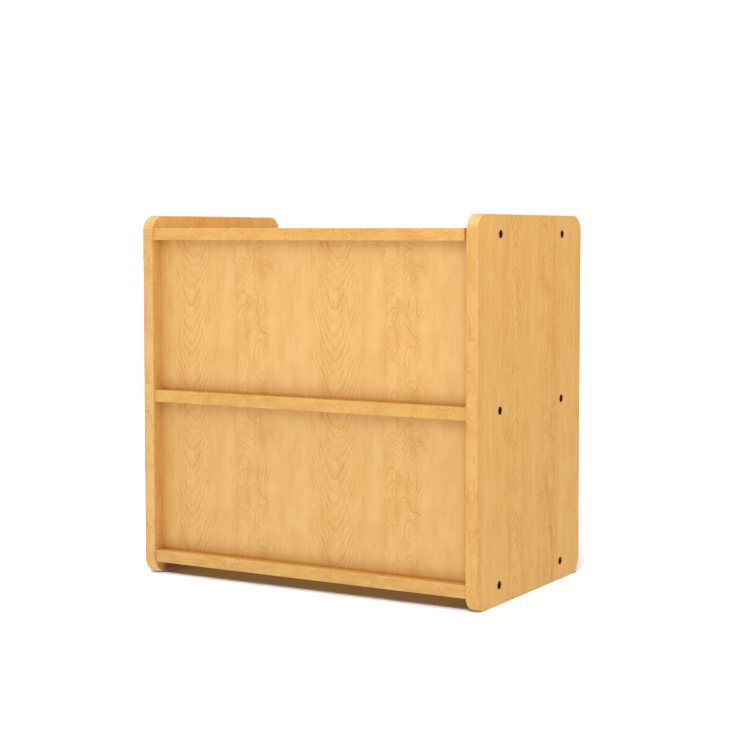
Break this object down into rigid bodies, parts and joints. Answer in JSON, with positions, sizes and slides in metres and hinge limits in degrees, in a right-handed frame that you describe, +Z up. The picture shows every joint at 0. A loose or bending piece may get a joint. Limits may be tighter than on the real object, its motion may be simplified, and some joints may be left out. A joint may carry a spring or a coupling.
{
  "type": "two-level book storage unit",
  "caption": "Low free-standing wooden book storage unit: rounded end panels, shelves bolted between them, recessed back panels and an open front.",
  "frame": {"origin": "on the floor, at the middle of the unit's width and depth", "axes": "+X along the width, to the right as seen from the open front; the open front faces -Y and the back panels face +Y; +Z up"},
  "size_m": [0.62, 0.381, 0.597],
  "materials": {
    "maple_end_panel": "maple laminate, satin",
    "maple_shelf": "maple laminate, satin",
    "maple_back": "maple laminate, satin",
    "maple_edge_band": "maple edge band, satin",
    "black_steel": "black oxide, satin",
    "zinc_steel": "zinc plated",
    "beech": "bare turned beech"
  },
  "bodies": {
    "root": {"bottom_shelf": "maple_shelf", "bottom_shelf_front_strip": "maple_edge_band", "bottom_shelf_left_barrel_nuts": "zinc_steel", "bottom_shelf_left_bolts": "black_steel", "bottom_shelf_left_dowels": "beech", "bottom_shelf_rear_strip": "maple_edge_band", "bottom_shelf_right_barrel_nuts": "zinc_steel", "bottom_shelf_right_bolts": "black_steel", "bottom_shelf_right_dowels": "beech", "left_end_edge_band": "maple_edge_band", "left_end_panel": "maple_end_panel", "lower_back_panel": "maple_back", "middle_shelf": "maple_shelf", "middle_shelf_front_strip": "maple_edge_band", "middle_shelf_left_barrel_nuts": "zinc_steel", "middle_shelf_left_bolts": "black_steel", "middle_shelf_left_dowels": "beech", "middle_shelf_rear_strip": "maple_edge_band", "middle_shelf_right_barrel_nuts": "zinc_steel", "middle_shelf_right_bolts": "black_steel", "middle_shelf_right_dowels": "beech", "right_end_edge_band": "maple_edge_band", "right_end_panel": "maple_end_panel", "top_shelf": "maple_shelf", "top_shelf_front_strip": "maple_edge_band", "top_shelf_left_barrel_nuts": "zinc_steel", "top_shelf_left_bolts": "black_steel", "top_shelf_left_dowels": "beech", "top_shelf_rear_strip": "maple_edge_band", "top_shelf_right_barrel_nuts": "zinc_steel", "top_shelf_right_bolts": "black_steel", "top_shelf_right_dowels": "beech", "upper_back_panel": "maple_back"}
  },
  "joints": []
}
